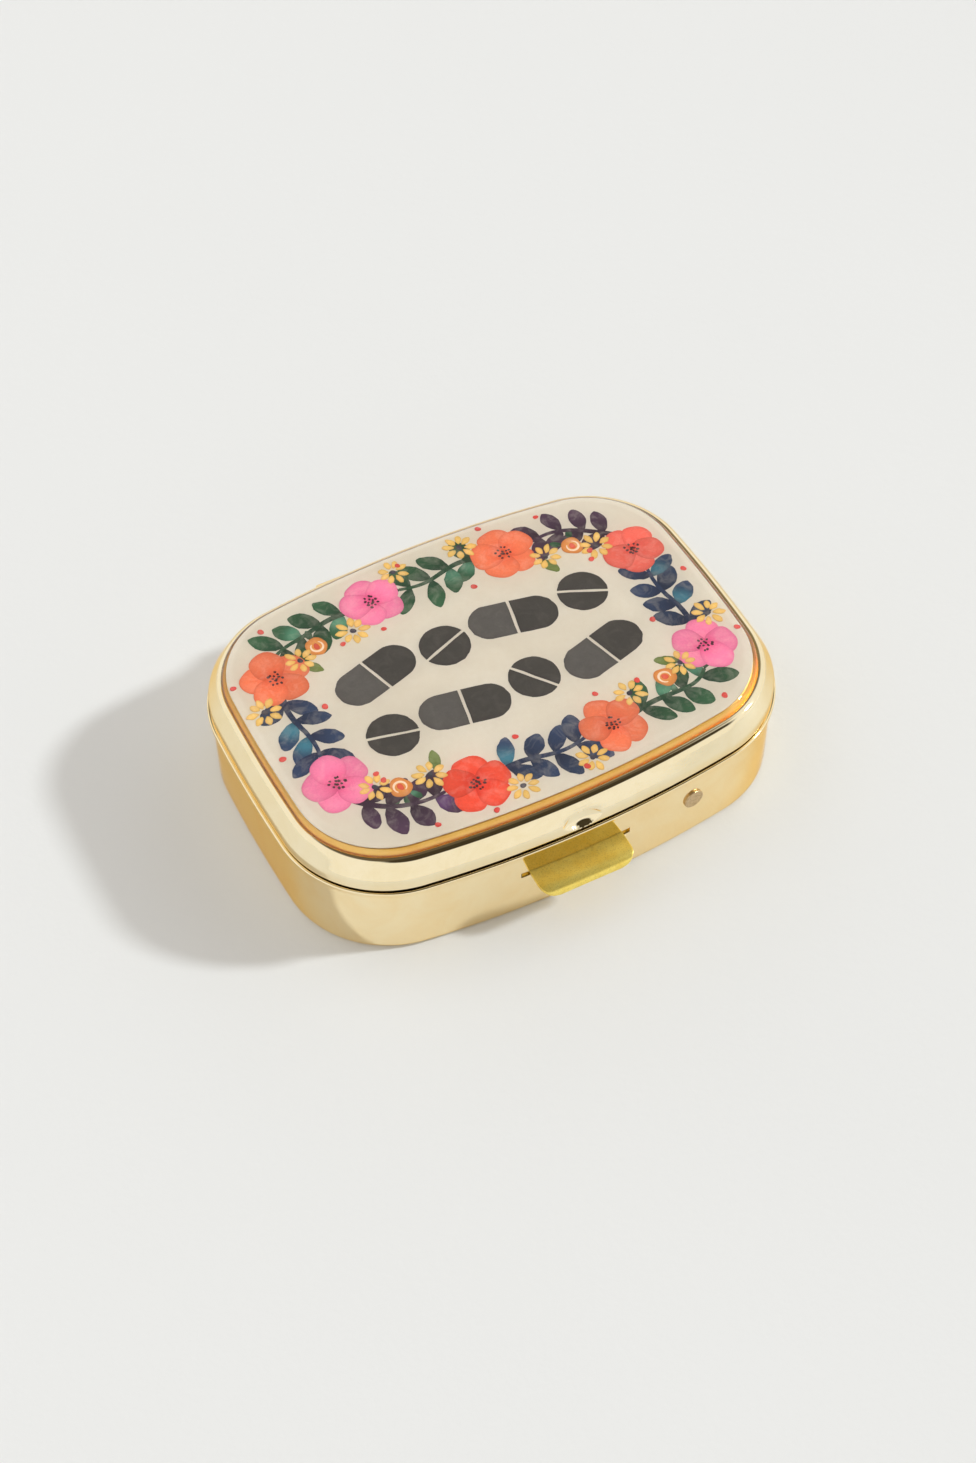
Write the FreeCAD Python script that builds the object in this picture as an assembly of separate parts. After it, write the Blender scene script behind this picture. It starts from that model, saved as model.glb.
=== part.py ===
import FreeCAD, Part
import math
import os

# Hinged metal pill box: a drawn base tray and a drawn lid joined by a five-knuckle hinge,
# a riveted leaf-spring latch, a moulded compartment tray, and a printed card under a clear
# resin dome. Millimetres. The origin is the middle of the resting face, +X runs along the
# hinge, -Y is the latch side and +Z is up.

Vector = FreeCAD.Vector

# Driving dimensions of the outline, which is eight tangent arcs.
WIDTH = 57.15
DEPTH = 42.0
LONG_SIDE_RADIUS = 128.0
SHORT_SIDE_RADIUS = 180.0
CORNER_RADIUS = 12.2

# Sheet metal and heights.
SHEET = 0.45
BASE_INSET = 0.4
BASE_EDGE_RADIUS = 0.8
RIM_LIP_BOTTOM = 9.4
RIM_TOP = 10.05
LID_INSET = 0.25
LID_BOTTOM = 10.3
LID_TOP = 13.7

# The lid's skirt is upright at the hem and then leans inwards up to its bead.
SKIRT_LEAN_WIDTH = 1.2
SKIRT_LEAN_HEIGHT = 2.2
BEAD_RADIUS = 0.4

# Groove inside the bead and the raised panel inside the groove, with the card on top of it.
# The panel, card and resin sit a little to the left of the lid's middle.
PANEL_SHIFT_X = -0.2
GROOVE_INSET = 2.0
GROOVE_FLOOR = 13.15
PANEL_INSET = 2.1
PANEL_TOP = 14.2
PANEL_SLOPE_WIDTH = 0.55
PANEL_SLOPE_HEIGHT = 0.85
CARD_INSET = 2.75
CARD_ADHESIVE = 0.08
CARD_THICKNESS = 0.2

# Clear resin over the card, with a steep sloping edge that stands in the groove.
RESIN_GAP = 0.03
RESIN_TOP = 14.9
RESIN_SLOPE_WIDTH = 0.7
RESIN_SLOPE_HEIGHT = 1.1

# Mirror under the lid panel.
MIRROR_INSET = 4.3
MIRROR_THICKNESS = 1.0
FOAM_INSET = 5.3
FOAM_THICKNESS = 0.4

# Compartment tray.
TRAY_GAP = 0.25
TRAY_WALL = 0.7
TRAY_FLOOR_BOTTOM = 0.5
TRAY_FLOOR = 0.8
TRAY_TOP = 10.4
DIVIDER_TOP = 9.6
DIVIDER_X = -6.0
DIVIDER_Y = 1.5
NOTCH_LEFT = -9.0
NOTCH_RIGHT = 16.5
NOTCH_FACE_Y = -17.2

# Latch leaf, its slot in the front wall and its rivet.
LEAF = 0.35
LEAF_GAP = 0.1
LEAF_BOTTOM = 4.3
LEAF_TOP = 7.8
LEAF_FREE_END_X = -7.2
LEAF_FLEX_X = 10.2
LEAF_FLEX_GAP = 0.05
LEAF_FIXED_END_X = 15.9
TAB_CENTRE_X = -1.15
TAB_BOTTOM = 5.9
TAB_WIDTH = 10.8
TAB_REACH = 3.1
TAB_THICKNESS = 0.5
TAB_CORNER_RADIUS = 1.8
TAB_EDGE_RADIUS = 0.3
SLOT_WIDTH = 12.7
SLOT_HEIGHT = 0.75
HOOK_WIDTH = 4.0
HOOK_SHEET = 0.3
HOOK_SETBACK = 1.25
HOOK_LIP = 0.15
HOOK_TOP = 12.3
RIVET_X = 13.15
RIVET_Z = 5.95
RIVET_HEAD_RADIUS = 1.15
RIVET_HEAD_HEIGHT = 0.45
RIVET_SHANK_RADIUS = 0.6
RIVET_TAIL_RADIUS = 0.95
RIVET_TAIL_HEIGHT = 0.25

# Catch dimple in the front of the lid skirt, pressed inwards by a lemon-shaped punch.
DIMPLE_X = -0.8
DIMPLE_Z = 11.5
PUNCH_HALF_LENGTH = 2.4
PUNCH_RADIUS = 1.0
PUNCH_OFFSET = 0.25
BUMP_EXTRA_LENGTH = 0.7

# Hinge behind the back wall.
HINGE_Y = 21.75
HINGE_Z = 9.6
KNUCKLE_RADIUS = 0.7
KNUCKLE_COUNT = 5
KNUCKLE_GAP = 0.05
HINGE_LENGTH = 20.0
PIN_RADIUS = 0.35
PIN_CLEARANCE = 0.05
PIN_LENGTH = 20.4
HINGE_LEAF = 0.4
HINGE_WEB = 0.35
BASE_LEAF_BOTTOM = 5.4
BASE_LEAF_TOP = 9.3
LID_LEAF_BOTTOM = 10.1
LID_LEAF_TOP = 11.45
HINGE_SIDE_GAP = 0.3

FAR = 60.0


def corner_centre():
    """Centre of the right back corner arc, which touches both side arcs from inside."""
    long_centre = Vector(0, DEPTH / 2 - LONG_SIDE_RADIUS, 0)
    short_centre = Vector(WIDTH / 2 - SHORT_SIDE_RADIUS, 0, 0)
    from_long = LONG_SIDE_RADIUS - CORNER_RADIUS
    from_short = SHORT_SIDE_RADIUS - CORNER_RADIUS
    line = short_centre - long_centre
    span = line.Length
    along = (from_long**2 - from_short**2 + span**2) / (2 * span)
    across = math.sqrt(from_long**2 - along**2)
    unit = line.multiply(1 / span)
    side = Vector(unit.y, -unit.x, 0)
    return long_centre + unit * along + side * across


def quadrant(inset):
    """Points of the outline's right back quarter, from the right middle to the back middle."""
    centre = corner_centre()
    radius = CORNER_RADIUS - inset
    to_short = (centre - Vector(WIDTH / 2 - SHORT_SIDE_RADIUS, 0, 0)).normalize()
    to_long = (centre - Vector(0, DEPTH / 2 - LONG_SIDE_RADIUS, 0)).normalize()
    half_way = (to_short + to_long).normalize()
    right_middle = Vector(WIDTH / 2 - inset, 0, 0)
    back_middle = Vector(0, DEPTH / 2 - inset, 0)
    corner = [centre + direction * radius for direction in (to_short, half_way, to_long)]
    return [right_middle, *corner, back_middle]


def outline(inset, z):
    """Closed outline wire at height z, offset inwards by inset."""
    right, low, middle, high, back = quadrant(inset)

    def at(point, sign_x, sign_y):
        return Vector(point.x * sign_x, point.y * sign_y, z)

    arcs = [
        (at(low, 1, -1), at(right, 1, 1), at(low, 1, 1)),
        (at(low, 1, 1), at(middle, 1, 1), at(high, 1, 1)),
        (at(high, 1, 1), at(back, 1, 1), at(high, -1, 1)),
        (at(high, -1, 1), at(middle, -1, 1), at(low, -1, 1)),
        (at(low, -1, 1), at(right, -1, 1), at(low, -1, -1)),
        (at(low, -1, -1), at(middle, -1, -1), at(high, -1, -1)),
        (at(high, -1, -1), at(back, 1, -1), at(high, 1, -1)),
        (at(high, 1, -1), at(middle, 1, -1), at(low, 1, -1)),
    ]
    return Part.Wire([Part.Arc(*points).toShape() for points in arcs])


def slab(inset, low, high):
    """Solid with the outline's shape between two heights."""
    return Part.Face(outline(inset, low)).extrude(Vector(0, 0, high - low))


def band(outer_inset, thickness, low, high):
    """Upright wall that follows the outline."""
    inner = slab(outer_inset + thickness, low, high)
    return slab(outer_inset, low, high).cut(inner)


def block(x_range, y_range, z_range):
    """Box between two limits on each axis."""
    low = Vector(x_range[0], y_range[0], z_range[0])
    size = Vector(x_range[1], y_range[1], z_range[1]) - low
    return Part.makeBox(size.x, size.y, size.z, low)


def level_edges(shape, z):
    """Edges that lie wholly at one height."""
    return [
        edge
        for edge in shape.Edges
        if abs(edge.BoundBox.ZMin - z) < 1e-4 and abs(edge.BoundBox.ZMax - z) < 1e-4
    ]


def front_wall(x, inset):
    """Point on the front side at x, offset by inset, and the outward normal there."""
    radius = LONG_SIDE_RADIUS - inset
    centre_y = LONG_SIDE_RADIUS - DEPTH / 2
    y = centre_y - math.sqrt(radius**2 - x**2)
    normal = Vector(x, y - centre_y, 0).normalize()
    return Vector(x, y, 0), normal


def front_y(inset):
    """Front side's y at x = 0."""
    return -(DEPTH / 2 - inset)


def lemon(half_length, radius, centre):
    """Solid of revolution of a circular arc about its own chord, which lies along X."""
    left = Vector(-half_length, 0, 0)
    right = Vector(half_length, 0, 0)
    arc = Part.Arc(left, Vector(0, radius, 0), right).toShape()
    profile = Part.Face(Part.Wire([arc, Part.makeLine(right, left)]))
    shape = profile.revolve(Vector(0, 0, 0), Vector(1, 0, 0), 360)
    shape.translate(centre)
    return shape


def base_shell():
    """Drawn tray with a rounded bottom edge, a proud rim lip, the latch slot and rivet hole."""
    body = slab(BASE_INSET, 0, RIM_TOP)
    body = body.makeFillet(BASE_EDGE_RADIUS, level_edges(body, 0))
    lip = slab(0, RIM_LIP_BOTTOM, RIM_TOP)
    lip = lip.makeFillet(BASE_INSET * 0.8, level_edges(lip, RIM_LIP_BOTTOM))
    half_notch = HINGE_LENGTH / 2 + HINGE_SIDE_GAP
    lip = lip.cut(block((-half_notch, half_notch), (0, FAR), (0, FAR)))
    body = body.fuse(lip)
    cavity = slab(BASE_INSET + SHEET, SHEET, RIM_TOP + 1)
    cavity = cavity.makeFillet(BASE_EDGE_RADIUS - SHEET, level_edges(cavity, SHEET))
    body = body.cut(cavity)
    slot_z = TAB_BOTTOM + TAB_THICKNESS / 2
    slot = block(
        (TAB_CENTRE_X - SLOT_WIDTH / 2, TAB_CENTRE_X + SLOT_WIDTH / 2),
        (-FAR, front_y(BASE_INSET + SHEET + 1)),
        (slot_z - SLOT_HEIGHT / 2, slot_z + SLOT_HEIGHT / 2),
    )
    return body.cut(slot).cut(rivet_cylinder(RIVET_SHANK_RADIUS, 1.0, -2.0)).removeSplitter()


def insert_tray():
    """Moulded tray with three compartments and a front notch that clears the latch."""
    outer_inset = BASE_INSET + SHEET + TRAY_GAP
    inside = TRAY_FLOOR_BOTTOM + TRAY_FLOOR

    def notched(shape, grow):
        clear = block(
            (NOTCH_LEFT - grow, NOTCH_RIGHT + grow), (-FAR, NOTCH_FACE_Y + grow), (0, FAR)
        )
        return shape.cut(clear)

    outer = slab(outer_inset, TRAY_FLOOR_BOTTOM, TRAY_TOP)
    outer = outer.makeFillet(BASE_EDGE_RADIUS / 2, level_edges(outer, TRAY_FLOOR_BOTTOM))
    cavity = slab(outer_inset + TRAY_WALL, inside, TRAY_TOP + 1)
    body = notched(outer, 0).cut(notched(cavity, TRAY_WALL))
    half = TRAY_WALL / 2
    across = block((DIVIDER_X - half, DIVIDER_X + half), (-FAR, FAR), (inside, DIVIDER_TOP))
    along = block((DIVIDER_X, FAR), (DIVIDER_Y - half, DIVIDER_Y + half), (inside, DIVIDER_TOP))
    reach = notched(slab(outer_inset + half, inside, DIVIDER_TOP), half)
    dividers = across.fuse(along).common(reach)
    return body.fuse(dividers).removeSplitter()


def leaf_strip(left, right, low, high):
    """Stretch of the latch leaf, which lies just behind the front wall and follows it."""
    strip = band(BASE_INSET + SHEET + LEAF_GAP, LEAF, low, high)
    return strip.common(block((left, right), (-FAR, 0), (low, high)))


def latch_pad():
    """Fixed end of the latch leaf, with the rivet hole."""
    pad = leaf_strip(LEAF_FLEX_X, LEAF_FIXED_END_X, LEAF_BOTTOM, LEAF_TOP)
    return pad.cut(rivet_cylinder(RIVET_SHANK_RADIUS, 1.0, -4.0))


def latch_tab():
    """Finger tab: a flat tongue with rounded outer corners and a softened top edge."""
    reach_y = front_y(BASE_INSET) - TAB_REACH
    root_y = front_y(BASE_INSET + SHEET + LEAF_GAP + LEAF)
    half = TAB_WIDTH / 2
    tab = block(
        (TAB_CENTRE_X - half, TAB_CENTRE_X + half),
        (reach_y, root_y),
        (TAB_BOTTOM, TAB_BOTTOM + TAB_THICKNESS),
    )
    corners = [
        edge
        for edge in tab.Edges
        if edge.BoundBox.YMax < reach_y + 1e-4 and edge.BoundBox.ZLength > TAB_THICKNESS / 2
    ]
    tab = tab.makeFillet(TAB_CORNER_RADIUS, corners)
    top = TAB_BOTTOM + TAB_THICKNESS
    outer = [e for e in level_edges(tab, top) if e.BoundBox.YMin < reach_y + TAB_CORNER_RADIUS / 2]
    return tab.makeFillet(TAB_EDGE_RADIUS, outer)


def latch_hook():
    """Upstand that reaches into the lid, with a lip above the dimple and a jog at its foot."""
    left = DIMPLE_X - HOOK_WIDTH / 2
    right = DIMPLE_X + HOOK_WIDTH / 2
    leaf_front = front_y(BASE_INSET + SHEET + LEAF_GAP)
    face = leaf_front + HOOK_SETBACK - HOOK_SHEET
    back = leaf_front + HOOK_SETBACK
    jog = block((left, right), (leaf_front, back), (LEAF_TOP - LEAF, LEAF_TOP))
    upstand = block((left, right), (face, back), (LEAF_TOP - LEAF, HOOK_TOP))
    lip = block((left, right), (face - HOOK_LIP, back), (HOOK_TOP - HOOK_SHEET, HOOK_TOP))
    inside = slab(BASE_INSET + SHEET + LEAF_GAP, LEAF_BOTTOM, HOOK_TOP)
    return jog.fuse(upstand).fuse(lip).common(inside)


def latch_arm():
    """Free length of the latch leaf with its finger tab and its hook."""
    arm_right = LEAF_FLEX_X - LEAF_FLEX_GAP
    arm = leaf_strip(LEAF_FREE_END_X, arm_right, LEAF_BOTTOM, LEAF_TOP)
    return arm.fuse(latch_tab()).fuse(latch_hook()).removeSplitter()


def rivet_cylinder(radius, start, end):
    """Cylinder on the rivet's axis between two distances outside the front wall's face."""
    point, normal = front_wall(RIVET_X, BASE_INSET)
    point.z = RIVET_Z
    foot = point + normal * end
    return Part.makeCylinder(radius, start - end, foot, normal)


def latch_rivet():
    """Solid rivet with a flat head outside and a clinched tail behind the leaf."""
    leaf_back = -(SHEET + LEAF_GAP + LEAF)
    head = rivet_cylinder(RIVET_HEAD_RADIUS, RIVET_HEAD_HEIGHT, 0)
    rim = [e for e in head.Edges if e.Closed and e.CenterOfMass.y < head.CenterOfMass.y]
    head = head.makeFillet(RIVET_HEAD_HEIGHT / 4, rim)
    shank = rivet_cylinder(RIVET_SHANK_RADIUS, 0, leaf_back)
    tail = rivet_cylinder(RIVET_TAIL_RADIUS, leaf_back, leaf_back - RIVET_TAIL_HEIGHT)
    return head.fuse(shank).fuse(tail).removeSplitter()


def hinge_cylinder(radius, left, right):
    """Cylinder on the hinge axis between two x positions."""
    return Part.makeCylinder(radius, right - left, Vector(left, HINGE_Y, HINGE_Z), Vector(1, 0, 0))


def hinge_leaf(first_knuckle, wall_inset, low, high, web_low, bore_radius):
    """Leaf that lies on a back wall, with every second knuckle and the webs that carry them."""
    half = HINGE_LENGTH / 2
    plate = band(wall_inset - HINGE_LEAF, HINGE_LEAF, low, high)
    plate = plate.common(block((-half, half), (0, FAR), (low, high)))
    wall = slab(wall_inset, low - 5, high + 5)
    pitch = HINGE_LENGTH / KNUCKLE_COUNT
    leaf = plate
    for index in range(first_knuckle, KNUCKLE_COUNT, 2):
        left = -half + index * pitch + (KNUCKLE_GAP / 2 if index else 0)
        right = left + pitch - KNUCKLE_GAP
        web_y = (DEPTH / 2 - wall_inset - 0.5, HINGE_Y)
        web = block((left, right), web_y, (web_low, web_low + HINGE_WEB)).cut(wall)
        knuckle = hinge_cylinder(KNUCKLE_RADIUS, left, right)
        leaf = leaf.fuse(web).fuse(knuckle)
    bore = hinge_cylinder(bore_radius, -half - 1, half + 1)
    return leaf.cut(bore).removeSplitter()


def hinge_pin():
    """Hinge pin with softened ends, held in the base leaf's knuckles."""
    pin = hinge_cylinder(PIN_RADIUS, -PIN_LENGTH / 2, PIN_LENGTH / 2)
    return pin.makeFillet(PIN_RADIUS / 3, [edge for edge in pin.Edges if edge.Closed])


def mound(inset, low, top, slope_width, slope_height):
    """Solid with the outline's shape and a bevelled top edge."""
    shape = slab(inset, low, top)
    return shape.makeChamfer(slope_height, slope_width, level_edges(shape, top))


def on_panel(shape):
    """The same shape moved to where the lid's panel sits."""
    return shape.translated(Vector(PANEL_SHIFT_X, 0, 0))


def panel(offset):
    """Solid of the raised panel, grown downwards and inwards by an offset."""
    low = LID_BOTTOM
    top = PANEL_TOP - offset
    return on_panel(mound(PANEL_INSET + offset, low, top, PANEL_SLOPE_WIDTH, PANEL_SLOPE_HEIGHT))


def lid_shell():
    """Drawn lid: leaning skirt, rounded bead, groove, raised panel and catch dimple."""
    outside = mound(LID_INSET, LID_BOTTOM, LID_TOP, SKIRT_LEAN_WIDTH, SKIRT_LEAN_HEIGHT)
    outside = outside.makeFillet(BEAD_RADIUS, level_edges(outside, LID_TOP))
    body = outside.cut(on_panel(slab(GROOVE_INSET, GROOVE_FLOOR, LID_TOP + 1)))
    body = body.fuse(panel(0))
    hollow_top = LID_TOP - SHEET
    low = LID_BOTTOM - 1
    inside = mound(LID_INSET + SHEET, low, hollow_top, SKIRT_LEAN_WIDTH, SKIRT_LEAN_HEIGHT)
    inside = inside.cut(on_panel(slab(GROOVE_INSET - SHEET, GROOVE_FLOOR - SHEET, FAR)))
    body = body.cut(inside).cut(panel(SHEET))
    axis = Vector(DIMPLE_X, front_y(LID_INSET) - PUNCH_OFFSET, DIMPLE_Z)
    bump = lemon(PUNCH_HALF_LENGTH + BUMP_EXTRA_LENGTH, PUNCH_RADIUS + SHEET, axis)
    bump = bump.common(outside)
    dent = lemon(PUNCH_HALF_LENGTH, PUNCH_RADIUS, axis)
    return body.fuse(bump).cut(dent).removeSplitter()


def resin_dome():
    """Clear resin that covers the card and runs down over the panel's slope into the groove."""
    foot = GROOVE_INSET + RESIN_GAP
    dome = mound(foot, GROOVE_FLOOR, RESIN_TOP, RESIN_SLOPE_WIDTH, RESIN_SLOPE_HEIGHT)
    card = slab(CARD_INSET, PANEL_TOP, PANEL_TOP + CARD_ADHESIVE + CARD_THICKNESS)
    return on_panel(dome.cut(card)).cut(panel(0))


def make_parts():
    """Every separate piece, by node name."""
    card_low = PANEL_TOP + CARD_ADHESIVE
    card_top = card_low + CARD_THICKNESS
    panel_underside = PANEL_TOP - SHEET
    mirror_top = panel_underside - FOAM_THICKNESS
    return {
        "base_shell": base_shell(),
        "insert_tray": insert_tray(),
        "latch_pad": latch_pad(),
        "latch_rivet": latch_rivet(),
        "hinge_leaf_base": hinge_leaf(
            0, BASE_INSET, BASE_LEAF_BOTTOM, BASE_LEAF_TOP, HINGE_Z - KNUCKLE_RADIUS, PIN_RADIUS
        ),
        "hinge_pin": hinge_pin(),
        "latch_arm": latch_arm(),
        "lid_shell": lid_shell(),
        "card_adhesive": on_panel(slab(CARD_INSET, PANEL_TOP, card_low)),
        "artwork_card": on_panel(slab(CARD_INSET, card_low, card_top)),
        "resin_dome": resin_dome(),
        "mirror_foam": slab(FOAM_INSET, mirror_top, panel_underside),
        "lid_mirror": slab(MIRROR_INSET, mirror_top - MIRROR_THICKNESS, mirror_top),
        "hinge_leaf_lid": hinge_leaf(
            1,
            LID_INSET,
            LID_LEAF_BOTTOM,
            LID_LEAF_TOP,
            HINGE_Z + KNUCKLE_RADIUS - HINGE_WEB,
            PIN_RADIUS + PIN_CLEARANCE,
        ),
    }


os.makedirs("parts", exist_ok=True)
for name, shape in make_parts().items():
    box = shape.BoundBox
    print(
        f"{name}: {len(shape.Solids)} solid, valid {shape.isValid()}, {shape.Volume:.2f} mm3,"
        f" x {box.XMin:.2f}..{box.XMax:.2f}, y {box.YMin:.2f}..{box.YMax:.2f},"
        f" z {box.ZMin:.2f}..{box.ZMax:.2f}"
    )
    shape.exportStep(f"parts/{name}.step")
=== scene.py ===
import bisect
import math
import random

import bmesh
import bpy
from mathutils import Matrix, Vector, noise

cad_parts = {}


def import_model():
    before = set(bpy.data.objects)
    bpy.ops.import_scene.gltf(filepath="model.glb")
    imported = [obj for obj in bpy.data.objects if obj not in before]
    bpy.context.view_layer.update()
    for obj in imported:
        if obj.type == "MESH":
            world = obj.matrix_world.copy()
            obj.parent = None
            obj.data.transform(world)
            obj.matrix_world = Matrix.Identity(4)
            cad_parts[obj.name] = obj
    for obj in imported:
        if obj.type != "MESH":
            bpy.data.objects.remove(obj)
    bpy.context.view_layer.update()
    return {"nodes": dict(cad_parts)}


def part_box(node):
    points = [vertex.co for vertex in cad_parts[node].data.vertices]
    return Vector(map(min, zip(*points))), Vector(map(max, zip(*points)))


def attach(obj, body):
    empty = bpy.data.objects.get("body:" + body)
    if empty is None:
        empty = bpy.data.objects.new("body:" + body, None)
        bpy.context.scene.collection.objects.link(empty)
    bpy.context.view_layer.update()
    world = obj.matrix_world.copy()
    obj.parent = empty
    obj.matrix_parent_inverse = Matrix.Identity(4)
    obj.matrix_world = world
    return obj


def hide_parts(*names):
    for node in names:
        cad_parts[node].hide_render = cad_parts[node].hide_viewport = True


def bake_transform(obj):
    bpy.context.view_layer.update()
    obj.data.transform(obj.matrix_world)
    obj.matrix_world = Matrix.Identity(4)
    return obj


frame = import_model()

# Looks for the hinged metal pill box. Shapes are worked out in millimetres, in the frame of
# the CAD model: +X along the hinge, -Y the latch side, +Z up, the resting face at z = 0.
# An inset is a distance inwards from the base's outline, square to it.

random.seed(11)

MM = 0.001
MICRON = 0.000001
SHARP_ANGLE = math.radians(38)
UP = Vector((0, 0, 1))


def node_box(name):
    """Lowest and highest corner of a CAD node, in millimetres."""
    low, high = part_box(name)
    return low / MM, high / MM


# ---- outline and sweeps

BASE_LOW, BASE_HIGH = node_box("base_shell")
PANEL_TOP = node_box("lid_shell")[1].z
CARD_TOP = node_box("artwork_card")[1].z
RESIN_CREST = node_box("resin_dome")[1].z

HALF_WIDTH = (BASE_HIGH.x - BASE_LOW.x) / 2
HALF_DEPTH = -BASE_LOW.y
LONG_RADIUS = 128.0
SHORT_RADIUS = 180.0
CORNER_RADIUS = 12.2
RING_STEP = 1.6
CORNER_STEPS = 30

SHEET = 0.45
BASE_INSET = 0.4
LID_INSET = 0.25

# The lid's panel, with all that lies on it, sits a little to the left of the lid's middle.
PANEL_SHIFT = -0.2


def corner_centre():
    """Centre of the right back corner arc, which touches both side arcs from inside."""
    long_centre = Vector((0.0, HALF_DEPTH - LONG_RADIUS))
    short_centre = Vector((HALF_WIDTH - SHORT_RADIUS, 0.0))
    from_long = LONG_RADIUS - CORNER_RADIUS
    from_short = SHORT_RADIUS - CORNER_RADIUS
    line = short_centre - long_centre
    span = line.length
    along = (from_long**2 - from_short**2 + span**2) / (2 * span)
    across = math.sqrt(from_long**2 - along**2)
    unit = line / span
    return long_centre + unit * along + Vector((unit.y, -unit.x)) * across


CORNER = corner_centre()
SHORT_TANGENT = math.atan2(CORNER.y, CORNER.x - (HALF_WIDTH - SHORT_RADIUS))
LONG_TANGENT = math.atan2(CORNER.y - (HALF_DEPTH - LONG_RADIUS), CORNER.x)


def column(angle, inset=0.0):
    """Point of the outline where its outward normal has this angle, and that normal."""
    normal = Vector((math.cos(angle), math.sin(angle)))
    sign_x = 1 if normal.x >= 0 else -1
    sign_y = 1 if normal.y >= 0 else -1
    folded = Vector((abs(normal.x), abs(normal.y)))
    turn = math.atan2(folded.y, folded.x)
    if turn < SHORT_TANGENT:
        point = Vector((HALF_WIDTH - SHORT_RADIUS, 0.0)) + folded * SHORT_RADIUS
    elif turn > LONG_TANGENT:
        point = Vector((0.0, HALF_DEPTH - LONG_RADIUS)) + folded * LONG_RADIUS
    else:
        point = CORNER + folded * CORNER_RADIUS
    return Vector((point.x * sign_x, point.y * sign_y)) - normal * inset, normal


def around(steps):
    """Evenly spaced angles of a full turn."""
    return [2 * math.pi * k / steps for k in range(steps)]


def front_angle(x):
    return -math.pi / 2 + math.asin(x / LONG_RADIUS)


def back_angle(x):
    return math.pi / 2 - math.asin(x / LONG_RADIUS)


def spread(low, high, step, stops=()):
    """Evenly spaced values from low to high, with the stops put in and close values left out."""
    count = max(1, round((high - low) / step))
    even = [low + (high - low) * k / count for k in range(count + 1)]
    kept = [v for v in even if all(abs(v - s) > 0.4 * step for s in stops)]
    return sorted(kept + [s for s in stops if low <= s <= high])


def ring(front=(), back=()):
    """Normal angles round the whole outline, anticlockwise, with stops on the front and back."""
    reach = LONG_RADIUS * math.cos(LONG_TANGENT)
    side = SHORT_RADIUS * math.sin(SHORT_TANGENT)

    def arc(low, high):
        return [low + (high - low) * k / CORNER_STEPS for k in range(1, CORNER_STEPS)]

    def flat(half, radius, stops=()):
        return [math.asin(v / radius) for v in spread(-half, half, RING_STEP, stops)]

    angles = [a - math.pi / 2 for a in flat(reach, LONG_RADIUS, front)]
    angles += arc(-LONG_TANGENT, -SHORT_TANGENT)
    angles += flat(side, SHORT_RADIUS)
    angles += arc(SHORT_TANGENT, LONG_TANGENT)
    angles += [math.pi / 2 - a for a in reversed(flat(reach, LONG_RADIUS, back))]
    angles += arc(math.pi - LONG_TANGENT, math.pi - SHORT_TANGENT)
    angles += [math.pi - a for a in reversed(flat(side, SHORT_RADIUS))]
    angles += arc(math.pi + SHORT_TANGENT, math.pi + LONG_TANGENT)
    return angles


def rounded(corners, steps=6):
    """Open profile of (inset, z) points from (inset, z, radius) corners."""
    points = []
    for index, (x, z, radius) in enumerate(corners):
        here = Vector((x, z))
        if radius == 0 or index in (0, len(corners) - 1):
            points.append((x, z))
            continue
        before = (Vector(corners[index - 1][:2]) - here).normalized()
        after = (Vector(corners[index + 1][:2]) - here).normalized()
        half = before.angle(after) / 2
        reach = radius / math.tan(half)
        centre = here + (before + after).normalized() * (radius / math.sin(half))
        start = here + before * reach - centre
        end = here + after * reach - centre
        arc = start.angle(end)
        for k in range(steps + 1):
            t = k / steps
            arm = start * math.sin((1 - t) * arc) + end * math.sin(t * arc)
            points.append(tuple(centre + arm / math.sin(arc)))
    return points


def refined(points, low, high, step):
    """The same profile with extra points on its steep stretches between two heights."""
    result = [points[0]]
    for a, b in zip(points, points[1:]):
        bottom, top = max(min(a[1], b[1]), low), min(max(a[1], b[1]), high)
        if abs(b[1] - a[1]) > step and top > bottom:
            for height in sorted(spread(bottom, top, step), reverse=b[1] < a[1]):
                if 1e-6 < abs(height - a[1]) and 1e-6 < abs(height - b[1]):
                    t = (height - a[1]) / (b[1] - a[1])
                    result.append((a[0] + (b[0] - a[0]) * t, height))
        result.append(b)
    return result


def link(name, data):
    """New object for a mesh, lamp or camera, linked to the scene."""
    thing = bpy.data.objects.new(name, data)
    bpy.context.scene.collection.objects.link(thing)
    return thing


def finish_mesh(name, bm):
    """Object from a bmesh in millimetres, with its normals outwards and smooth shading."""
    bmesh.ops.recalc_face_normals(bm, faces=bm.faces)
    bm.transform(Matrix.Scale(MM, 4))
    mesh = bpy.data.meshes.new(name)
    bm.to_mesh(mesh)
    bm.free()
    mesh.polygons.foreach_set("use_smooth", [True] * len(mesh.polygons))
    mesh.set_sharp_from_angle(angle=SHARP_ANGLE)
    return link(name, mesh)


def loft(rows, looped=False):
    """Skin through rows of points, each a closed section. Its ends are capped, or joined up."""
    bm = bmesh.new()
    rows = [[bm.verts.new(p) for p in row] for row in rows]
    for a, b in zip(rows, rows[1:] + rows[:1] if looped else rows[1:]):
        for k in range(len(a)):
            m = (k + 1) % len(a)
            bm.faces.new((a[k], b[k], b[m], a[m]))
    if not looped:
        bm.faces.new(rows[0])
        bm.faces.new(rows[-1])
    return bm


def soften(bm, angle, width, profile):
    """Rounds off the edges that are sharper than an angle."""
    hard = [e for e in bm.edges if len(e.link_faces) == 2 and e.calc_face_angle(0) > angle]
    shape = {"segments": 3, "profile": profile, "affect": "EDGES", "clamp_overlap": True}
    bmesh.ops.bevel(bm, geom=hard, offset=width, **shape)


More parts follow.
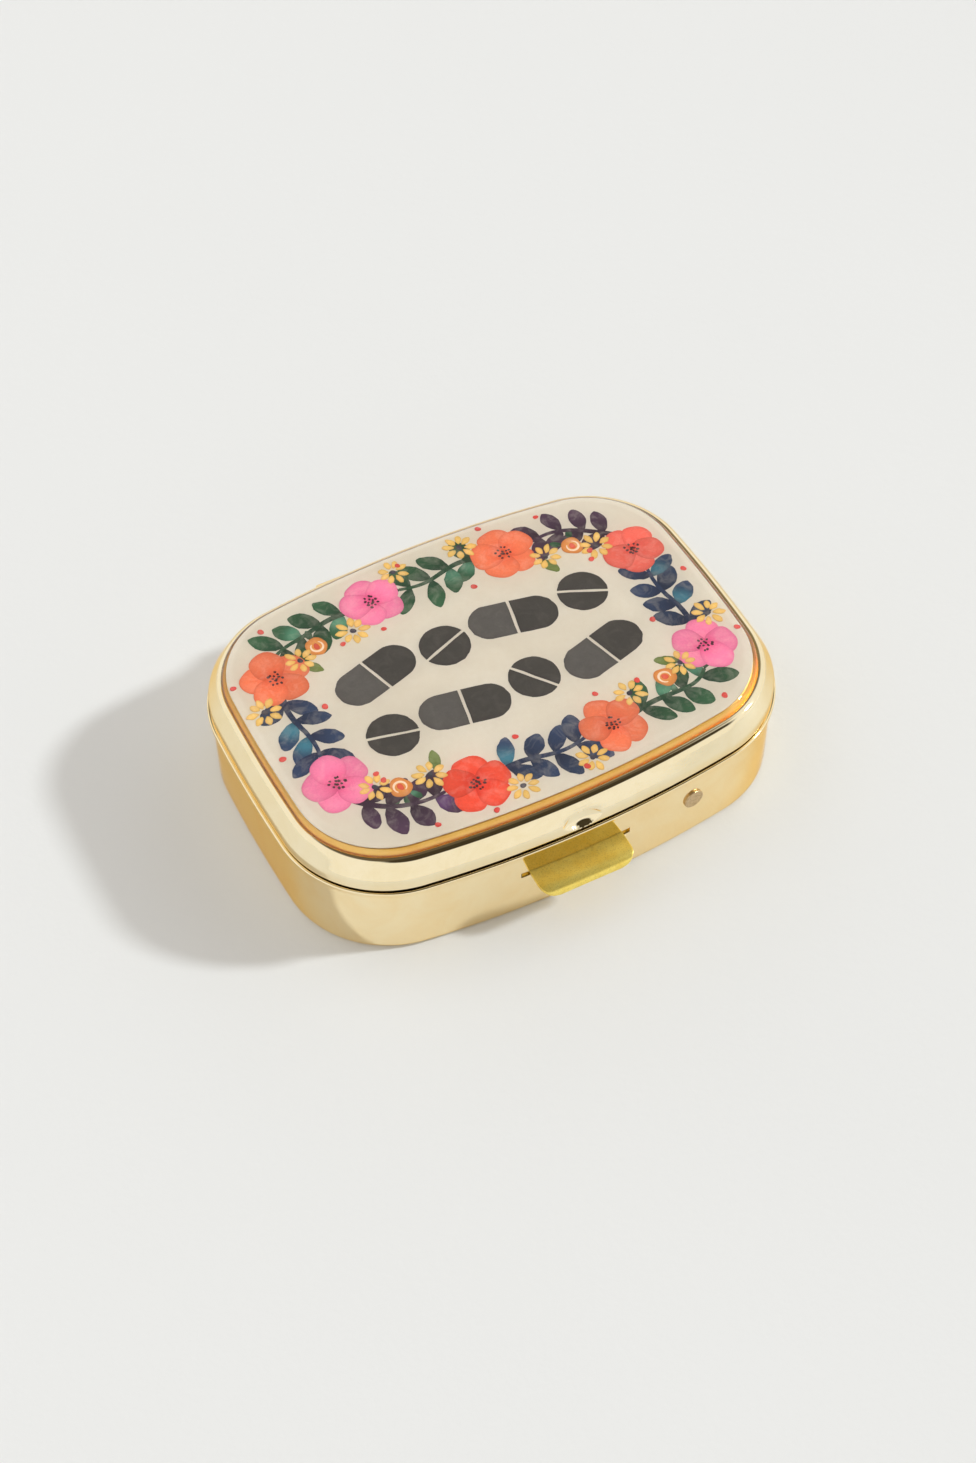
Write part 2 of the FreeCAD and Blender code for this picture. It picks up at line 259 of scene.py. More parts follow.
def sweep(name, angles, profile_at, window=None):
    """Closed skin swept round the outline and capped at both ends of its profile.

    profile_at(angle) gives the (inset, z) points. Faces inside the window, which is
    (x low, x high, z low, z high) on the front, become a hole through the sheet.
    """
    rows = []
    for level in zip(*[profile_at(angle) for angle in angles]):
        rows.append([(*column(angle, inset)[0], z) for angle, (inset, z) in zip(angles, level)])
    bm = loft(rows)
    if window:
        x_low, x_high, z_low, z_high = window
        gone = []
        for face in bm.faces:
            c = face.calc_center_median()
            if len(face.verts) == 4 and c.y < 0 and x_low < c.x < x_high and z_low < c.z < z_high:
                gone.append(face)
        bmesh.ops.delete(bm, geom=gone, context="FACES")
        bmesh.ops.bridge_loops(bm, edges=[edge for edge in bm.edges if edge.is_boundary])
    return finish_mesh(name, bm)


# ---- materials


class Graph:
    """Nodes of a material or the world, with short calls for the kinds used here."""

    def __init__(self, name, library=bpy.data.materials, shader="Principled BSDF", space="Object"):
        self.owner = library.new(name)
        self.owner.use_nodes = True
        self.tree = self.owner.node_tree
        self.shader = self.tree.nodes[shader]
        self.place = self.add("ShaderNodeTexCoord").outputs[space]

    def add(self, kind, **settings):
        node = self.tree.nodes.new(kind)
        for key, value in settings.items():
            setattr(node, key, value)
        return node

    def feed(self, socket, value):
        """Puts a number, a colour or another node's output on a socket."""
        if isinstance(value, (int, float)):
            socket.default_value = value
        elif isinstance(value, tuple):
            socket.default_value = (*value, 1)
        else:
            self.tree.links.new(value, socket)

    def set(self, **values):
        """Values of the shader's own sockets; underscores stand for spaces."""
        for key, value in values.items():
            self.feed(self.shader.inputs[key.replace("_", " ")], value)

    def noise(self, scale, detail=4.0, rough=0.5, distortion=0.0, stretch=None):
        place = self.place
        if stretch:
            mapping = self.add("ShaderNodeMapping")
            mapping.inputs["Scale"].default_value = stretch
            self.feed(mapping.inputs["Vector"], place)
            place = mapping.outputs["Vector"]
        node = self.add("ShaderNodeTexNoise")
        keys = ("Scale", "Detail", "Roughness", "Distortion", "Vector")
        for key, value in zip(keys, (scale, detail, rough, distortion, place)):
            self.feed(node.inputs[key], value)
        return node.outputs["Fac"]

    def attribute(self, name, output="Fac"):
        return self.add("ShaderNodeAttribute", attribute_name=name).outputs[output]

    def remap(self, source, low, high, to_low=0.0, to_high=1.0, shape="LINEAR"):
        node = self.add("ShaderNodeMapRange", interpolation_type=shape)
        keys = ("Value", "From Min", "From Max", "To Min", "To Max")
        for key, value in zip(keys, (source, low, high, to_low, to_high)):
            self.feed(node.inputs[key], value)
        return node.outputs["Result"]

    def patchy(self, source, low, high, a, b):
        """Colour that turns from a to b as the source rises from low to high."""
        return self.mix(self.remap(source, low, high), a, b)

    def math(self, operation, a, b):
        node = self.add("ShaderNodeMath", operation=operation)
        self.feed(node.inputs[0], a)
        self.feed(node.inputs[1], b)
        return node.outputs[0]

    def mix(self, factor, a, b, blend="MIX"):
        """Colours a and b mixed. Sockets 0, 6 and 7 are the ones a colour mix uses."""
        node = self.add("ShaderNodeMix", data_type="RGBA", blend_type=blend)
        for index, value in ((0, factor), (6, a), (7, b)):
            self.feed(node.inputs[index], value)
        return node.outputs[2]

    def bump(self, *layers):
        """Bump from (height, microns) layers, one on top of the other."""
        normal = None
        for height, microns in layers:
            node = self.add("ShaderNodeBump")
            node.inputs["Distance"].default_value = microns * MICRON
            self.feed(node.inputs["Height"], height)
            if normal:
                self.feed(node.inputs["Normal"], normal)
            normal = node.outputs["Normal"]
        self.set(Normal=normal)


def mottled(name, metallic, colour, rough, *bumps):
    """Simple material from noises: two colours, a roughness that varies or is one number, bumps."""
    g = Graph(name)
    source, *rest = colour
    g.set(Metallic=metallic, Base_Color=g.patchy(g.noise(*source), *rest))
    if isinstance(rough, float):
        g.set(Roughness=rough)
    else:
        source, *rest = rough
        g.set(Roughness=g.remap(g.noise(*source), *rest))
    if bumps:
        g.bump(*[(g.noise(*source), microns) for source, microns in bumps])
    return g.owner


def plated_gold(name, base, deep):
    """Thin gold plating: nearly a mirror, a little wavy, with a painted reflection, a deep honey tone, where
    it is marked.
    """
    g = Graph(name)
    g.set(Metallic=1.0, Specular_Tint=(0.98, 0.74, 0.40))
    plate = g.patchy(g.noise(210, 5, 0.6, 0.6), 0.4, 0.75, base, deep)
    # Painted reflection: on the marked slope and groove, a deep honey gold stands in for the gold reflecting
    # itself under the resin.
    painted_reflection_honey = g.patchy(g.noise(260, 4, 0.6), 0.35, 0.7, (1.0, 0.64, 0.18), (0.96, 0.53, 0.12))
    painted_reflection_mask = g.attribute("painted_reflection_mask")
    fine = g.remap(g.noise(900, 4, 0.65), 0.35, 0.75, 0.035, 0.10)
    rough = g.math("ADD", fine, g.math("MULTIPLY", painted_reflection_mask, 0.25))
    g.set(Base_Color=g.mix(painted_reflection_mask, plate, painted_reflection_honey), Roughness=rough)
    g.bump((g.noise(120, 2, 0.4), 20), (g.noise(2600, 3, 0.6), 1.2))
    return g.owner


def leaf_brass():
    """Deeper brass spring strip, satin brushed along the box."""
    g = Graph("leaf_brass")
    colour = g.patchy(g.noise(700, 4, 0.6), 0.35, 0.7, (0.98, 0.78, 0.19), (0.92, 0.67, 0.12))
    speckle = g.remap(g.noise(6800, 2, 0.5), 0.5, 0.72, 0, 0.4)
    streaks = g.remap(g.noise(1.0, 3, 0.5, 0.2, (900, 5200, 5000)), 0.3, 0.7, 0.28, 0.32)
    g.set(Metallic=0.7, Base_Color=g.mix(speckle, colour, (0.52, 0.36, 0.06)), Roughness=streaks)
    g.bump((g.noise(6200, 3, 0.5), 0.7))
    return g.owner


def dull_metal(name, base, deep, low, high):
    """Duller metal for the pin and the rivet, with a fine cast texture."""
    cast = (4200, 5, 0.65)
    rough = ((1500, 3, 0.5), 0.3, 0.7, low, high)
    return mottled(name, 1.0, (cast, 0.3, 0.7, base, deep), rough, (cast, 30), ((1200, 3, 0.5), 20))


def card_paper():
    """Warm cream card with a soft uneven wash and paper tooth."""
    g = Graph("card_paper")
    tooth = g.noise(1900, 4, 0.6)
    wash = g.patchy(g.noise(85, 4, 0.55, 0.4), 0.35, 0.68, (0.74, 0.675, 0.58), (0.68, 0.61, 0.51))
    colour = g.mix(g.remap(tooth, 0.35, 0.75, 0, 0.15), wash, (0.62, 0.50, 0.38))
    g.set(Base_Color=colour, Roughness=0.62)
    g.bump((tooth, 12))
    return g.owner


def watercolour(name, fade):
    """Printed watercolour: the ink's own colour, pooled at its edges and granulated."""
    g = Graph(name)
    pigment = g.attribute("pigment", "Color")
    grain = g.noise(3800, 4, 0.7)
    bloom = g.remap(g.noise(620, 4, 0.6, 0.8), 0.46, 0.78, 0, fade)
    colour = g.mix(bloom, pigment, (0.95, 0.86, 0.74))
    pooled = g.math("MULTIPLY", g.math("POWER", g.attribute("edge"), 5.0), 0.42)
    dark = g.mix(1.0, pigment, (0.62, 0.55, 0.58), "MULTIPLY")
    colour = g.mix(pooled, colour, dark)
    g.set(Base_Color=g.mix(g.remap(grain, 0.4, 0.75, 0, 0.28), colour, dark), Roughness=0.55)
    g.bump((grain, 6))
    return g.owner


def clear_resin():
    """Glossy clear resin. Lamps shine through it, so that the card under it is lit."""
    g = Graph("clear_resin")
    g.set(Base_Color=(1.0, 0.985, 0.955), Transmission_Weight=1.0, IOR=1.5)
    g.set(Roughness=g.remap(g.noise(300, 3, 0.5), 0.4, 0.7, 0.0, 0.03))
    g.bump((g.noise(90, 2, 0.4), 12))
    clear = g.add("ShaderNodeBsdfTransparent")
    g.feed(clear.inputs["Color"], (0.97, 0.955, 0.92))
    both = g.add("ShaderNodeMixShader")
    g.feed(both.inputs["Fac"], g.add("ShaderNodeLightPath").outputs["Is Shadow Ray"])
    g.feed(both.inputs[1], g.shader.outputs["BSDF"])
    g.feed(both.inputs[2], clear.outputs["BSDF"])
    g.feed(g.tree.nodes["Material Output"].inputs["Surface"], both.outputs["Shader"])
    return g.owner


GOLD = plated_gold("gold_plate", (1.0, 0.86, 0.57), (0.98, 0.79, 0.47))
LID_GOLD = plated_gold("gold_plate_lid", (0.97, 0.85, 0.59), (0.93, 0.79, 0.50))
BRASS = leaf_brass()
PIN = dull_metal("pin_steel", (0.62, 0.55, 0.42), (0.45, 0.39, 0.29), 0.2, 0.34)
RIVET = dull_metal("rivet_face", (0.70, 0.53, 0.31), (0.46, 0.32, 0.17), 0.26, 0.42)
PAPER = card_paper()
INK = watercolour("watercolour_print", 0.2)
FLAT_INK = watercolour("flat_print", 0.03)
RESIN = clear_resin()
# Satin black moulding with a spark-eroded grain, a silvered mirror with a trace of haze, white
# closed-cell mounting foam and a thin translucent film of adhesive.
BLACK = ((160, 4, 0.6), 0.35, 0.7, (0.012, 0.012, 0.013), (0.022, 0.021, 0.02))
PLASTIC = mottled("tray_plastic", 0.0, BLACK, ((700, 4, 0.6), 0.3, 0.7, 0.34, 0.52), ((5200, 3, 0.6), 10))
SILVER = ((140, 3, 0.5), 0.4, 0.7, (0.93, 0.95, 0.94), (0.87, 0.90, 0.89))
MIRROR = mottled("mirror_glass", 1.0, SILVER, ((260, 5, 0.6), 0.5, 0.8, 0.01, 0.06))
CELLS = (3000, 3, 0.6)
WHITE = (CELLS, 0.35, 0.7, (0.82, 0.82, 0.80), (0.60, 0.60, 0.58))
FOAM = mottled("foam_pad", 0.0, WHITE, (CELLS, 0.3, 0.7, 0.75, 0.95), (CELLS, 40))
AMBER = ((400, 3, 0.5), 0.4, 0.7, (0.70, 0.66, 0.55), (0.60, 0.55, 0.44))
ADHESIVE = mottled("adhesive_film", 0.0, AMBER, ((900, 3, 0.5), 0.3, 0.7, 0.3, 0.5))


def dress(piece, material, body, slot, *nodes):
    """Material, body and the CAD nodes that a piece stands for. The slot is not used."""
    piece.data.materials.append(material)
    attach(piece, body)
    if nodes:
        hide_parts(*nodes)


def repaint(node, material):
    """Better material for a CAD node that stays as it is."""
    for slot in frame["nodes"][node].material_slots:
        slot.material = material


# ---- base shell

LIP_BOTTOM = 9.4
LIP_FULL = LIP_BOTTOM + 0.27
EDGE_RADIUS = 0.8
BOTTOM_FLAT = BASE_INSET + EDGE_RADIUS + 0.35
CAP_INSET = 7.0
TAB_X = -1.15
TAB_Z = 6.15
SLOT_WIDTH = 12.7
SLOT_HEIGHT = 0.75
SLOT_LOW, SLOT_HIGH = TAB_Z - SLOT_HEIGHT / 2, TAB_Z + SLOT_HEIGHT / 2
SLOT_LEFT, SLOT_RIGHT = TAB_X - SLOT_WIDTH / 2, TAB_X + SLOT_WIDTH / 2
NOTCH_HALF = 10.3
FACING = 0.9


def base_profile(angle):
    """Drawn tray with a proud rim lip, which stops short where the hinge lies."""
    point, normal = column(angle)
    notched = normal.y > FACING and abs(point.x) < NOTCH_HALF + 0.001
    lip = BASE_INSET - 0.002 if notched else 0.0
    inner = BASE_INSET + SHEET
    return rounded(
        [
            (CAP_INSET, 0.0, 0),
            (BOTTOM_FLAT, 0.0, 0),
            (BASE_INSET, 0.0, EDGE_RADIUS),
            (BASE_INSET, SLOT_LOW, 0),
            (BASE_INSET, SLOT_HIGH, 0),
            (BASE_INSET, LIP_BOTTOM - 0.12, 0),
            (BASE_INSET, LIP_BOTTOM, 0),
            (lip if notched else 0.05, LIP_BOTTOM + 0.16, 0),
            (lip, LIP_FULL, 0),
            (lip, BASE_HIGH.z, 0.16),
            (inner, BASE_HIGH.z, 0.12),
            (inner, SLOT_HIGH, 0),
            (inner, SLOT_LOW, 0),
            (inner, SHEET, EDGE_RADIUS - SHEET),
            (BOTTOM_FLAT, SHEET, 0),
            (CAP_INSET, SHEET, 0),
        ]
    )


notch_stops = (-NOTCH_HALF - 0.05, -NOTCH_HALF, NOTCH_HALF, NOTCH_HALF + 0.05)
base_angles = ring((SLOT_LEFT, SLOT_RIGHT), notch_stops)
base = sweep("base_tin", base_angles, base_profile, (SLOT_LEFT, SLOT_RIGHT, SLOT_LOW, SLOT_HIGH))
dress(base, GOLD, "base", "gold_plate", "base_shell")

# ---- lid shell

DIMPLE_X = -0.6
DIMPLE_Z = 11.5
DIMPLE_HALF = 2.4
DIMPLE_RADIUS = 1.0
DIMPLE_OFFSET = 0.12
DIMPLE_SOFTNESS = 0.07
DIMPLE_REACH = 3.0
DIMPLE_STEP = 0.1
HALO = 0.05
SKIRT_BOTTOM = 10.3
SKIRT_LEAN_FOOT = 11.5
SKIRT_TOP = 12.9
HEM_RADIUS = 0.13
BEAD_INSET = 1.48
BEAD_TOP = 13.7
BEAD_RADIUS = 0.85
GROOVE_INSET = 2.0
GROOVE_FLOOR = 13.15
PANEL_FOOT = 2.1
PANEL_SHOULDER = 2.65


def soft_step(value):
    """The value where it is positive and nought elsewhere, with a soft corner between."""
    return (value + math.sqrt(value**2 + DIMPLE_SOFTNESS**2)) / 2


def dimple(x, z):
    """Depth of the catch dimple pressed into the skirt, with a soft rim."""
    bow = (DIMPLE_HALF**2 + DIMPLE_RADIUS**2) / (2 * DIMPLE_RADIUS)
    along, rise = x - DIMPLE_X, z - DIMPLE_Z
    radius = 0.0
    if abs(along) < DIMPLE_HALF:
        radius = math.sqrt(bow**2 - along**2) - (bow - DIMPLE_RADIUS)
    chord = math.sqrt(max(radius**2 - rise**2, 0.0))
    halo = HALO * math.exp(-((along / 2.3) ** 2) - (rise / 0.8) ** 2)
    return soft_step(chord - DIMPLE_OFFSET) - soft_step(-DIMPLE_OFFSET) + halo


def panel_slide(angle):
    """How much further in the panel's edges lie on this side of the lid."""
    return -PANEL_SHIFT * column(angle)[1].x


def lid_profile(angle):
    """Sheet lid: underside from the middle outwards, hem, skirt, bead, groove, raised panel."""
    point, normal = column(angle)
    inner = LID_INSET + SHEET
    slide = panel_slide(angle)
    foot, shoulder, groove = (inset + slide for inset in (PANEL_FOOT, PANEL_SHOULDER, GROOVE_INSET))
    under = GROOVE_FLOOR - SHEET
    points = rounded(
        [
            (CAP_INSET, PANEL_TOP - SHEET, 0),
            (shoulder + 0.4, PANEL_TOP - SHEET, 0.2),
            (foot + 0.4, GROOVE_FLOOR - 0.2, 0.1),
            (foot + 0.4, under, 0.1),
            (1.62, under, 0.1),
            (inner, SKIRT_LEAN_FOOT - 0.3, 0.5),
            (inner, SKIRT_BOTTOM, HEM_RADIUS),
            (LID_INSET, SKIRT_BOTTOM, HEM_RADIUS),
            (LID_INSET, SKIRT_LEAN_FOOT, 1.2),
            (BEAD_INSET, BEAD_TOP, BEAD_RADIUS),
            (groove, BEAD_TOP, 0.03),
            (groove, GROOVE_FLOOR, 0.04),
            (foot + 0.04, GROOVE_FLOOR, 0),
            (foot + 0.04, GROOVE_FLOOR + 0.1, 0),
            (shoulder, PANEL_TOP, 0.08),
            (CAP_INSET, PANEL_TOP, 0),
        ],
        steps=9,
    )
    points = refined(points, SKIRT_BOTTOM, SKIRT_TOP, 0.09)
    if normal.y > -FACING or abs(point.x - DIMPLE_X) > 5:
        return points
    pressed = inner + 0.45
    return [(i + dimple(point.x, z), z) if i < pressed and z < SKIRT_TOP else (i, z) for i, z in points]


def mark_painted_reflection(piece, angles):
    """Marks the panel's slope and groove, where a deeper gold is painted in as the reflection of the gold in
    itself seen through the resin.
    """
    columns = []
    for angle in angles:
        profile = lid_profile(angle)
        hem = min(range(len(profile)), key=lambda k: profile[k][1])
        edge = GROOVE_INSET + panel_slide(angle) - 0.03
        columns.append([float(k > hem and inset > edge) for k, (inset, _) in enumerate(profile)])
    marks = [mark for level in zip(*columns) for mark in level]
    piece.data.attributes.new("painted_reflection_mask", "FLOAT", "POINT").data.foreach_set("value", marks)


dimple_stops = round(2 * DIMPLE_REACH / DIMPLE_STEP) + 1
lid_angles = ring([DIMPLE_X - DIMPLE_REACH + DIMPLE_STEP * k for k in range(dimple_stops)])
lid = sweep("lid_tin", lid_angles, lid_profile)
mark_painted_reflection(lid, lid_angles)
dress(lid, LID_GOLD, "lid", "gold_plate", "lid_shell")

# ---- resin dome and card

CARD_INSET = 2.75
RESIN_CENTRE_INSET = 11.0
HAIR = 0.02
# How far in and how high the dome is above the bead, from its edge to where it is nearly flat.
DOME_EDGE = [
    (0.0, -0.02), (0.02, 0.12), (0.07, 0.28), (0.16, 0.45), (0.28, 0.60), (0.43, 0.73), (0.62, 0.84),
    (0.86, 0.93), (1.2, 1.01), (1.7, 1.07), (2.5, 1.12), (3.8, 1.16), (6.0, 1.18),
]


def resin_profile(angle):
    """Resin from the card's face out over its edge, down into the groove, up and over the dome."""
    slide = panel_slide(angle)
    card, groove, slope = CARD_INSET + HAIR + slide, GROOVE_INSET + slide, PANEL_FOOT + 0.08 + slide
    points = [
        (CAP_INSET, CARD_TOP - 0.03),
        (card, CARD_TOP - 0.03),
        (card, PANEL_TOP - HAIR),
        (PANEL_SHOULDER + HAIR + slide, PANEL_TOP - HAIR),
        (slope, GROOVE_FLOOR + 0.1),
        (slope, GROOVE_FLOOR - HAIR),
        (groove - HAIR, GROOVE_FLOOR - HAIR),
        (groove - HAIR, BEAD_TOP - 0.06),
    ]
    points += [(groove + run, BEAD_TOP + rise) for run, rise in DOME_EDGE]
    return points + [(RESIN_CENTRE_INSET, RESIN_CREST)]


resin = sweep("resin_lens", ring(), resin_profile)
dress(resin, RESIN, "lid", "clear_resin", "resin_dome")
repaint("artwork_card", PAPER)
repaint("card_adhesive", ADHESIVE)

# ---- printed artwork

# Heights above the card. Each kind of mark has its own, so that no two patches share a face.
INK_THICKNESS = 0.012
INK_FOOT = -0.004
LEAF_LEVEL, LEAF_LIFT, LEAF_LEVELS = 0.003, 0.0005, 29
STEM_LEVEL = 0.0185
PETAL_LEVEL, PETAL_LIFT = 0.022, 0.003
STAMEN_LEVEL = 0.038
DAISY_LEVEL, DAISY_EYE_LEVEL = 0.04, 0.046
BUD_LEVEL, SWIRL_LEVEL, BUD_HEART_LEVEL = 0.038, 0.044, 0.048
BERRY_LEVEL = 0.05
MOTIF_LEVEL = 0.01
LIP_LEVEL = -0.009


def srgb(red, green, blue):
    """Linear colour from 0-255 screen values."""
    def one(value):
        value /= 255
        return value / 12.92 if value <= 0.04045 else ((value + 0.055) / 1.055) ** 2.4
    return Vector((one(red), one(green), one(blue)))


class Ink:
    """Thin closed patches of ink that become one printed piece."""

    def __init__(self, name):
        self.name = name
        self.points, self.faces, self.pigment, self.edge = [], [], [], []

    def put(self, point, level, pigment, edge):
        self.points.append(((point[0] + PANEL_SHIFT) * MM, point[1] * MM, (CARD_TOP + level) * MM))
        self.pigment += [*pigment, 1.0]
        self.edge.append(edge)
        return len(self.points) - 1

    def band(self, a, b):
        """Faces between two closed rows of the same length."""
        for k in range(len(a)):
            m = (k + 1) % len(a)
            self.faces.append((a[k], b[k], b[m], a[m]))

    def blob(self, centre, contour, level, paint, rings=5):
        """Patch whose whole contour can be seen from its centre. paint(point, t) is its colour."""
        top = level + INK_THICKNESS
        middle = self.put(centre, top, paint(centre, 0), 0)
        last = None
        for k in range(1, rings + 1):
            t = (k / rings) ** 0.85
            spots = [centre + (p - centre) * t for p in contour]
            here = [self.put(q, top, paint(q, t), t) for q in spots]
            if last:
                self.band(last, here)
            else:
                self.faces += [(middle, a, b) for a, b in zip(here, here[1:] + here[:1])]
            last = here
        foot = [self.put(p, INK_FOOT, paint(p, 1), 1) for p in contour]
        self.band(last, foot)
        self.faces.append(tuple(reversed(foot)))

    def ribbon(self, path, widths, level, paint, closed=False):
        """Brush stroke along a path of points, with a width at each."""
        count = len(path)
        top = level + INK_THICKNESS
        rows = []
        for i, p in enumerate(path):
            before = path[i - 1] if i or closed else p
            after = path[(i + 1) % count] if i + 1 < count or closed else p
            along = (after - before).normalized()
            side = Vector((-along.y, along.x)) * widths[i] / 2
            pigment = paint(i / (count - 1))
            section = ((side, top, 1), (side * 0, top, 0), (-side, top, 1))
            section += ((-side, INK_FOOT, 1), (side, INK_FOOT, 1))
            rows.append([self.put(p + step, height, pigment, edge) for step, height, edge in section])
        for a, b in zip(rows, rows[1:] + rows[:1] if closed else rows[1:]):
            self.band(a, b)
        if not closed:
            self.faces += [tuple(rows[0]), tuple(reversed(rows[-1]))]

    def piece(self, material):
        mesh = bpy.data.meshes.new(self.name)
        mesh.from_pydata(self.points, [], self.faces)
        mesh.attributes.new("pigment", "FLOAT_COLOR", "POINT").data.foreach_set("color", self.pigment)
        mesh.attributes.new("edge", "FLOAT", "POINT").data.foreach_set("value", self.edge)
        bm = bmesh.new()
        bm.from_mesh(mesh)
        bmesh.ops.recalc_face_normals(bm, faces=bm.faces)
        bm.to_mesh(mesh)
        bm.free()
        dress(link(self.name, mesh), material, "lid", "printed_card")


def turn(vector, angle):
    c, s = math.cos(angle), math.sin(angle)
    return Vector((vector[0] * c - vector[1] * s, vector[0] * s + vector[1] * c))


def heading(vector):
    return math.atan2(vector.y, vector.x)


# Where along a leaf its patch is fanned out from.
LEAF_MIDDLE = 0.52


def wobble(point, amount, scale=1.6, seed=0.0):
    """Small smooth shift that makes an edge look hand painted."""
    return amount * noise.noise(Vector((point[0] * scale, point[1] * scale, seed)))


def leaf_contour(base, angle, length, width, seed, steps=22):
    """Brush-mark leaf: a pointed oval, fuller towards its tip."""
    result = []
    for a in around(steps):
        x = (1 - math.cos(a)) / 2
        fullness = math.sin(math.pi * x**1.12) ** 0.62 if 0 < x < 1 else 0.0
        p = base + turn((x * length, math.copysign(fullness * width / 2, math.sin(a))), angle)
        result.append(p + turn((wobble(p, 0.10, 1.9, seed), wobble(p, 0.10, 1.9, seed + 9)), angle))
    return result


def petal_contour(centre, angle, reach, width, seed, steps=30):
    """Rounded petal with a slightly notched, wavy rim."""
    result = []
    for a in around(steps):
        ripple = 1 + 0.035 * math.sin(3 * a + seed) + 0.025 * math.sin(5 * a + 2 * seed)
        x = reach / 2 * math.cos(a) * ripple
        y = width / 2 * math.sin(a) * ripple * (1 + 0.16 * math.cos(a))
        result.append(centre + turn((x, y), angle))
    return result


def shift(colour, amount):
    """Colour a little lighter or darker."""
    return Vector([max(0.0, min(1.0, c * (1 + amount))) for c in colour])


PINK = (srgb(246, 138, 178), srgb(228, 66, 130))
CORAL = (srgb(240, 128, 88), srgb(226, 84, 48))
SALMON = (srgb(242, 112, 96), srgb(228, 72, 60))
RED = (srgb(240, 84, 58), srgb(222, 40, 26))
GREEN = (srgb(48, 94, 62), srgb(22, 58, 40), srgb(96, 160, 130))
BLUE = (srgb(44, 64, 100), srgb(24, 36, 68), srgb(70, 140, 160))
PURPLE = (srgb(78, 50, 78), srgb(50, 28, 50), srgb(120, 80, 140))
OLIVE = (srgb(112, 130, 66), srgb(78, 98, 44), srgb(150, 165, 100))
DAISY = (srgb(244, 206, 120), srgb(234, 180, 78))
BUD = (srgb(232, 158, 80), srgb(222, 130, 60))
BERRY = srgb(222, 72, 66)
STAMEN = srgb(58, 26, 36)
DAISY_EYE = srgb(62, 60, 78)
BUD_SWIRL = srgb(252, 226, 200)
BUD_HEART = srgb(226, 92, 70)
CHARCOAL = srgb(66, 62, 60)
ASH = srgb(92, 88, 86)

leaves, flowers, daisies, buds, berries, motif = (
    Ink("print_" + kind) for kind in ("leaves", "flowers", "daisies", "rosebuds", "berries", "tablets")
)


def dot(ink, centre, radius, colour, level, stretch=1.0, angle=0.0, steps=14):
    """Small round mark."""
    tint = random.uniform(-0.12, 0.12)
    seed = random.uniform(0, 6)
    contour = []
    for a in around(steps):
        r = radius * (1 + 0.10 * math.sin(2 * a + seed) + 0.05 * math.sin(3 * a + seed))
        contour.append(centre + turn((r * stretch * math.cos(a), r * math.sin(a)), angle))
    ink.blob(centre, contour, level, lambda p, t: shift(colour, tint), rings=3)


def flower(heart, size, colours, angle):
    """Five overlapping petals and a sprinkle of dark stamens."""
    light, deep = colours
    for layer, k in enumerate((0, 2, 4, 1, 3)):
        a = angle + 2 * math.pi * k / 5 + random.uniform(-0.08, 0.08)
        reach = size * random.uniform(0.50, 0.56)
        width = size * random.uniform(0.46, 0.53)
        centre = heart + turn((size * 0.255, 0), a)
        tint = random.uniform(-0.10, 0.08)
        contour = petal_contour(centre, a, reach, width, random.uniform(0, 6))

        def paint(p, t):
            near = math.exp(-(((p - heart).length / (0.20 * size)) ** 2))
            return shift(light.lerp(deep, min(1, 0.75 * near + 0.18 * t**4)), tint)

        flowers.blob(centre, contour, PETAL_LEVEL + PETAL_LIFT * layer, paint)
    for k in range(14):
        a = angle + 2 * math.pi * k / 14 + random.uniform(-0.2, 0.2)
        far = size * (random.uniform(0.02, 0.06) if k % 3 == 0 else random.uniform(0.085, 0.13))
        dot(flowers, heart + turn((far, 0), a), random.uniform(0.12, 0.17), STAMEN, STAMEN_LEVEL, 1.1, a)


def leaf(foot, angle, length, width, colours):
    """One leaf, which fades towards its tip or its foot, a hair above the leaf before it."""
    light, deep, glow = colours
    level = LEAF_LEVEL + LEAF_LIFT * (len(leaves.faces) % LEAF_LEVELS)
    seed = random.uniform(0, 40)
    glowing = random.random() < 0.28
    tint = random.uniform(-0.22, 0.18)

    def paint(p, t):
        along = (p - foot).length / length
        colour = deep.lerp(light, min(1, along * 1.1))
        if glowing:
            colour = colour.lerp(glow, 0.75 * math.exp(-(((along - 0.3) / 0.28) ** 2)))
        return shift(colour, tint)

    middle = foot + turn((length * LEAF_MIDDLE, 0), angle)
    leaves.blob(middle, leaf_contour(foot, angle, length, width, seed), level, paint)


def daisy(heart, size, angle):
    """Eight narrow yellow petals round a dark eye."""
    light, deep = DAISY
    for k in range(8):
        a = angle + 2 * math.pi * k / 8 + random.uniform(-0.1, 0.1)
        length = size * random.uniform(0.3, 0.38)
        foot = heart + turn((size * 0.14, 0), a)
        tint = random.uniform(-0.08, 0.06)
        contour = leaf_contour(foot, a, length, size * 0.2, random.uniform(0, 40), 14)
        centre = foot + turn((length * LEAF_MIDDLE, 0), a)
        daisies.blob(centre, contour, DAISY_LEVEL, lambda p, t: shift(light.lerp(deep, t * 0.5), tint), 3)
    dot(daisies, heart, size * 0.085, DAISY_EYE, DAISY_EYE_LEVEL)


